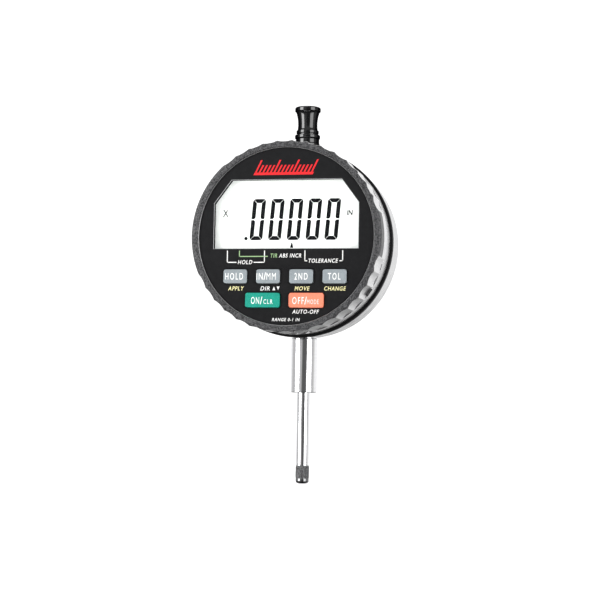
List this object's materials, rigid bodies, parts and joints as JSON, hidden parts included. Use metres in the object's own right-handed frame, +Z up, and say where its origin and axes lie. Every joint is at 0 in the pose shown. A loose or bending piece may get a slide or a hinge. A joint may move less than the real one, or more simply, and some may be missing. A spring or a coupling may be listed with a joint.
{
  "type": "electronic dial indicator",
  "caption": "Electronic plunger indicator with a round turning display head, function keys, a clamping stem, a lug back and a lifting knob.",
  "frame": {"origin": "centre of the stem's lower end face, on the plunger's axis", "axes": "+Z up along the plunger, from the contact point to the knob; the display faces -Y and the lug is towards +Y"},
  "size_m": [0.0669, 0.0589, 0.1347],
  "materials": {
    "polished_steel": "ground and polished",
    "dark_steel": "black oxide, knurled",
    "knob_black": "gloss black anodised",
    "case_silver": "satin anodised",
    "inner_aluminium": "machined",
    "bronze": "turned",
    "seal_rubber": "smooth black",
    "screw_steel": "plated",
    "board_green": "solder mask",
    "chip_black": "moulded",
    "inner_plastic": "moulded",
    "battery_steel": "nickel plated",
    "contact_brass": "sprung leaf",
    "ribbon_amber": "polyimide",
    "bezel_charcoal": "fine textured",
    "face_black": "satin black",
    "key_grey": "satin",
    "key_teal": "satin",
    "key_coral": "satin",
    "lens_clear": "clear",
    "display_white": "white reflective display",
    "scale_glass": "graduated glass",
    "diffuser_white": "milky"
  },
  "bodies": {
    "case": {"stem": "polished_steel", "lower_bushing": "bronze", "upper_bushing": "knob_black", "lower_yoke": "inner_aluminium", "upper_yoke": "inner_aluminium", "stem_nut": "screw_steel", "bushing_nut": "screw_steel", "guide_rod": "polished_steel", "stop_bumper": "seal_rubber", "front_case": "case_silver", "seal_ring": "seal_rubber", "rear_housing": "case_silver", "back_cover": "case_silver", "cover_screw_1": "screw_steel", "cover_screw_2": "screw_steel", "cover_screw_3": "screw_steel", "cover_screw_4": "screw_steel", "main_board": "board_green", "board_screws": "screw_steel", "signal_chip": "chip_black", "read_head": "chip_black", "battery_cage": "inner_plastic", "negative_contact": "contact_brass", "positive_contact": "contact_brass", "data_socket": "inner_plastic", "friction_ring": "seal_rubber", "rotation_stop": "inner_aluminium", "flex_ribbon": "ribbon_amber"},
    "plunger": {"spindle": "polished_steel", "contact_point": "dark_steel", "lift_knob": "knob_black", "knob_stud": "screw_steel", "carrier": "inner_aluminium", "carrier_screw": "screw_steel", "scale": "scale_glass", "return_spring": "polished_steel"},
    "display_head": {"bezel": "bezel_charcoal", "face_panel": "face_black", "window_lens": "lens_clear", "display_glass": "display_white", "diffuser": "diffuser_white", "elastomer_strip": "seal_rubber", "display_board": "board_green", "display_chip": "chip_black", "key_mat": "seal_rubber", "bezel_base": "inner_plastic", "bezel_retainer": "inner_plastic", "stop_pin": "screw_steel"},
    "key_function_1": {"key_function_1": "key_grey"},
    "key_function_2": {"key_function_2": "key_grey"},
    "key_function_3": {"key_function_3": "key_grey"},
    "key_function_4": {"key_function_4": "key_grey"},
    "key_on": {"key_on": "key_teal"},
    "key_off": {"key_off": "key_coral"},
    "drawer": {"battery_drawer": "inner_plastic", "battery": "battery_steel"},
    "port_cover": {"port_cover": "seal_rubber"}
  },
  "joints": [
    {"name": "plunger_slide", "type": "slide", "parent": "case", "child": "plunger", "axis": [0, 0, 1], "range_m": [0, 0.0254], "stiffness_N_per_m": 30, "springref_m": -0.04, "deforming": ["return_spring"]},
    {"name": "head_turn", "type": "hinge", "parent": "case", "child": "display_head", "pos_m": [0, 0, 0.0524], "axis": [0, -1, 0], "range_deg": [-135, 135]},
    {"name": "key_function_1_press", "type": "slide", "parent": "display_head", "child": "key_function_1", "axis": [0, 1, 0], "range_m": [0, 0.0006], "stiffness_N_per_m": 800, "springref_m": -0.0006},
    {"name": "key_function_2_press", "type": "slide", "parent": "display_head", "child": "key_function_2", "axis": [0, 1, 0], "range_m": [0, 0.0006], "stiffness_N_per_m": 800, "springref_m": -0.0006},
    {"name": "key_function_3_press", "type": "slide", "parent": "display_head", "child": "key_function_3", "axis": [0, 1, 0], "range_m": [0, 0.0006], "stiffness_N_per_m": 800, "springref_m": -0.0006},
    {"name": "key_function_4_press", "type": "slide", "parent": "display_head", "child": "key_function_4", "axis": [0, 1, 0], "range_m": [0, 0.0006], "stiffness_N_per_m": 800, "springref_m": -0.0006},
    {"name": "key_on_press", "type": "slide", "parent": "display_head", "child": "key_on", "axis": [0, 1, 0], "range_m": [0, 0.0006], "stiffness_N_per_m": 800, "springref_m": -0.0006},
    {"name": "key_off_press", "type": "slide", "parent": "display_head", "child": "key_off", "axis": [0, 1, 0], "range_m": [0, 0.0006], "stiffness_N_per_m": 800, "springref_m": -0.0006},
    {"name": "drawer_slide", "type": "slide", "parent": "case", "child": "drawer", "axis": [-1, 0, 0], "range_m": [0, 0.026]},
    {"name": "port_cover_slide", "type": "slide", "parent": "case", "child": "port_cover", "axis": [-1, 0, 0], "range_m": [0, 0.004]}
  ]
}
